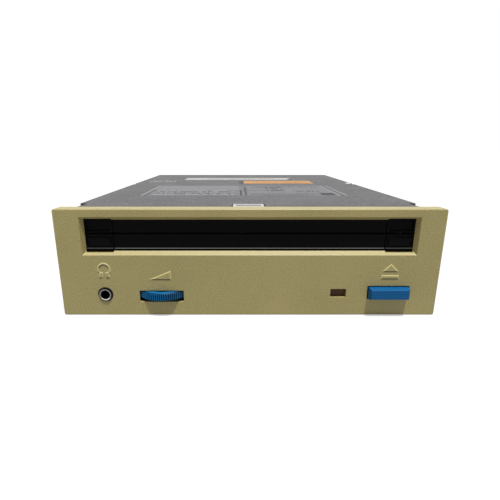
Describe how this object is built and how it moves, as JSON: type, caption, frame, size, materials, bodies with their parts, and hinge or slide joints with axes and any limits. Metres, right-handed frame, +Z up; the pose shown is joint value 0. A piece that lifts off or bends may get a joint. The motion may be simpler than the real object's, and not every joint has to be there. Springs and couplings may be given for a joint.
{
  "type": "caddy-loading disc drive",
  "caption": "Half-height internal disc drive: beige bezel, flap-covered caddy slot, volume wheel, headphone socket and eject button, with a caddy lift and an optical sled inside.",
  "frame": {"origin": "centre of the four bottom mounting holes, on the underside of the drive", "axes": "+X to the right seen from the front, +Y from the bezel to the rear connectors, +Z up"},
  "size_m": [0.1482, 0.2124, 0.0427],
  "materials": {
    "bezel_plastic": "fine spark-eroded grain, warm beige",
    "black_plastic": "satin black",
    "blue_plastic": "satin blue",
    "zinc_sheet": "zinc-plated sheet, dull",
    "steel": "bright steel",
    "circuit_board": "green solder mask",
    "rubber": "black rubber",
    "brass": "plain brass",
    "amber": "dark smoked amber",
    "cream_plastic": "natural moulded plastic",
    "copper": "enamelled copper windings",
    "lens_glass": "coated glass"
  },
  "bodies": {
    "body": {"chassis": "zinc_sheet", "bottom_cover": "zinc_sheet", "top_cover": "zinc_sheet", "cover_screws": "steel", "bottom_cover_screws": "steel", "front_bezel": "bezel_plastic", "upper_flap_spring": "steel", "lower_flap_spring": "steel", "headphone_jack": "black_plastic", "jack_bushing": "steel", "volume_pot": "black_plastic", "activity_window": "amber", "activity_led": "amber", "eject_spring": "steel", "eject_switch": "black_plastic", "front_board": "circuit_board", "front_ribbon": "cream_plastic", "main_board": "circuit_board", "board_chips": "black_plastic", "board_capacitors": "steel", "data_header": "black_plastic", "data_header_pins": "brass", "power_socket": "cream_plastic", "power_pins": "brass", "audio_header": "cream_plastic", "jumper_header": "black_plastic", "mechanism_screws": "steel", "optical_base": "zinc_sheet", "rubber_dampers": "rubber", "guide_rods": "steel", "spindle_stator": "copper", "sled_motor": "steel", "cam_guide_pins": "steel", "loading_bracket": "zinc_sheet", "loading_motor": "steel", "drive_belt": "rubber", "rear_bridge": "zinc_sheet", "clamp_hinge_pin": "steel"},
    "upper_flap": {"upper_flap": "black_plastic"},
    "lower_flap": {"lower_flap": "black_plastic"},
    "eject_button": {"eject_button": "blue_plastic"},
    "volume_wheel": {"volume_wheel": "blue_plastic", "pot_shaft": "steel"},
    "spindle": {"spindle_rotor": "steel", "turntable": "black_plastic"},
    "sled": {"pickup_sled": "black_plastic"},
    "lens": {"lens_holder": "black_plastic", "objective_lens": "lens_glass"},
    "sled_gear": {"sled_gear": "cream_plastic"},
    "sled_pinion": {"sled_pinion": "brass"},
    "carrier": {"caddy_carrier": "steel", "lift_pins": "steel"},
    "cam_left": {"cam_plate_left": "steel"},
    "cam_right": {"cam_plate_right": "steel"},
    "cross_shaft": {"cross_shaft": "steel", "cross_shaft_gears": "cream_plastic"},
    "belt_pulley": {"belt_pulley": "cream_plastic"},
    "motor_pulley": {"motor_pulley": "brass"},
    "clamp_arm": {"clamp_arm": "zinc_sheet"},
    "clamp_puck": {"clamp_puck": "black_plastic"}
  },
  "joints": [
    {"name": "upper_flap_hinge", "type": "hinge", "parent": "body", "child": "upper_flap", "pos_m": [0, -0.08922, 0.0392], "axis": [1, 0, 0], "range_deg": [0, 86], "stiffness_Nm_per_rad": 0.01, "springref_deg": -34.38, "deforming": ["upper_flap_spring"]},
    {"name": "lower_flap_hinge", "type": "hinge", "parent": "body", "child": "lower_flap", "pos_m": [0, -0.08922, 0.0255], "axis": [-1, 0, 0], "range_deg": [0, 86], "stiffness_Nm_per_rad": 0.01, "springref_deg": -34.38, "deforming": ["lower_flap_spring"]},
    {"name": "eject_press", "type": "slide", "parent": "body", "child": "eject_button", "axis": [0, 1, 0], "range_m": [0, 0.002], "stiffness_N_per_m": 300, "springref_m": -0.002, "deforming": ["eject_spring"]},
    {"name": "volume_turn", "type": "hinge", "parent": "body", "child": "volume_wheel", "pos_m": [-0.0346, -0.08482, 0.00845], "axis": [0, 0, 1], "range_deg": [-140, 140]},
    {"name": "spindle_spin", "type": "hinge", "parent": "body", "child": "spindle", "pos_m": [0, -0.01103, 0.024], "axis": [0, 0, 1], "continuous": true},
    {"name": "sled_travel", "type": "slide", "parent": "body", "child": "sled", "axis": [0, 1, 0], "range_m": [0, 0.035]},
    {"name": "lens_focus", "type": "slide", "parent": "sled", "child": "lens", "axis": [0, 0, 1], "range_m": [-0.0004, 0.0004], "stiffness_N_per_m": 200},
    {"name": "sled_gear_turn", "type": "hinge", "parent": "body", "child": "sled_gear", "pos_m": [-0.0401, 0.03497, 0.016], "axis": [0, 0, 1], "range_deg": [0, 557.04]},
    {"name": "sled_motor_turn", "type": "hinge", "parent": "body", "child": "sled_pinion", "pos_m": [-0.0401, 0.04938, 0.016], "axis": [0, 0, 1], "range_deg": [-1675, 0]},
    {"name": "carrier_lift", "type": "slide", "parent": "body", "child": "carrier", "axis": [0, 0, 1], "range_m": [-0.005, 0]},
    {"name": "cam_left_slide", "type": "slide", "parent": "body", "child": "cam_left", "axis": [0, 1, 0], "range_m": [0, 0.014]},
    {"name": "cam_right_slide", "type": "slide", "parent": "body", "child": "cam_right", "axis": [0, 1, 0], "range_m": [0, 0.014]},
    {"name": "cross_shaft_turn", "type": "hinge", "parent": "body", "child": "cross_shaft", "pos_m": [0, 0.09098, 0.016], "axis": [1, 0, 0], "range_deg": [-229.18, 0]},
    {"name": "belt_pulley_turn", "type": "hinge", "parent": "body", "child": "belt_pulley", "pos_m": [0, 0.09773, 0.025], "axis": [1, 0, 0], "range_deg": [0, 631]},
    {"name": "loading_motor_turn", "type": "hinge", "parent": "body", "child": "motor_pulley", "pos_m": [0, 0.10593, 0.033], "axis": [1, 0, 0], "range_deg": [0, 1865]},
    {"name": "clamp_arm_swing", "type": "hinge", "parent": "body", "child": "clamp_arm", "pos_m": [0, 0.07397, 0.0382], "axis": [1, 0, 0], "range_deg": [0, 5.01]},
    {"name": "clamp_puck_spin", "type": "hinge", "parent": "clamp_arm", "child": "clamp_puck", "pos_m": [0, -0.01103, 0.024], "axis": [0, 0, 1], "continuous": true}
  ],
  "couplings": [
    {"joint": "sled_travel", "follows": "sled_gear_turn", "m_per_rad": 0.0036},
    {"joint": "sled_motor_turn", "follows": "sled_gear_turn", "ratio": -3},
    {"joint": "carrier_lift", "follows": "cross_shaft_turn", "m_per_rad": 0.00125},
    {"joint": "cam_left_slide", "follows": "cross_shaft_turn", "m_per_rad": -0.0035},
    {"joint": "cam_right_slide", "follows": "cross_shaft_turn", "m_per_rad": -0.0035},
    {"joint": "belt_pulley_turn", "follows": "cross_shaft_turn", "ratio": -2.75},
    {"joint": "loading_motor_turn", "follows": "cross_shaft_turn", "ratio": -8.1211},
    {"joint": "clamp_arm_swing", "follows": "cross_shaft_turn", "ratio": -0.021817}
  ]
}
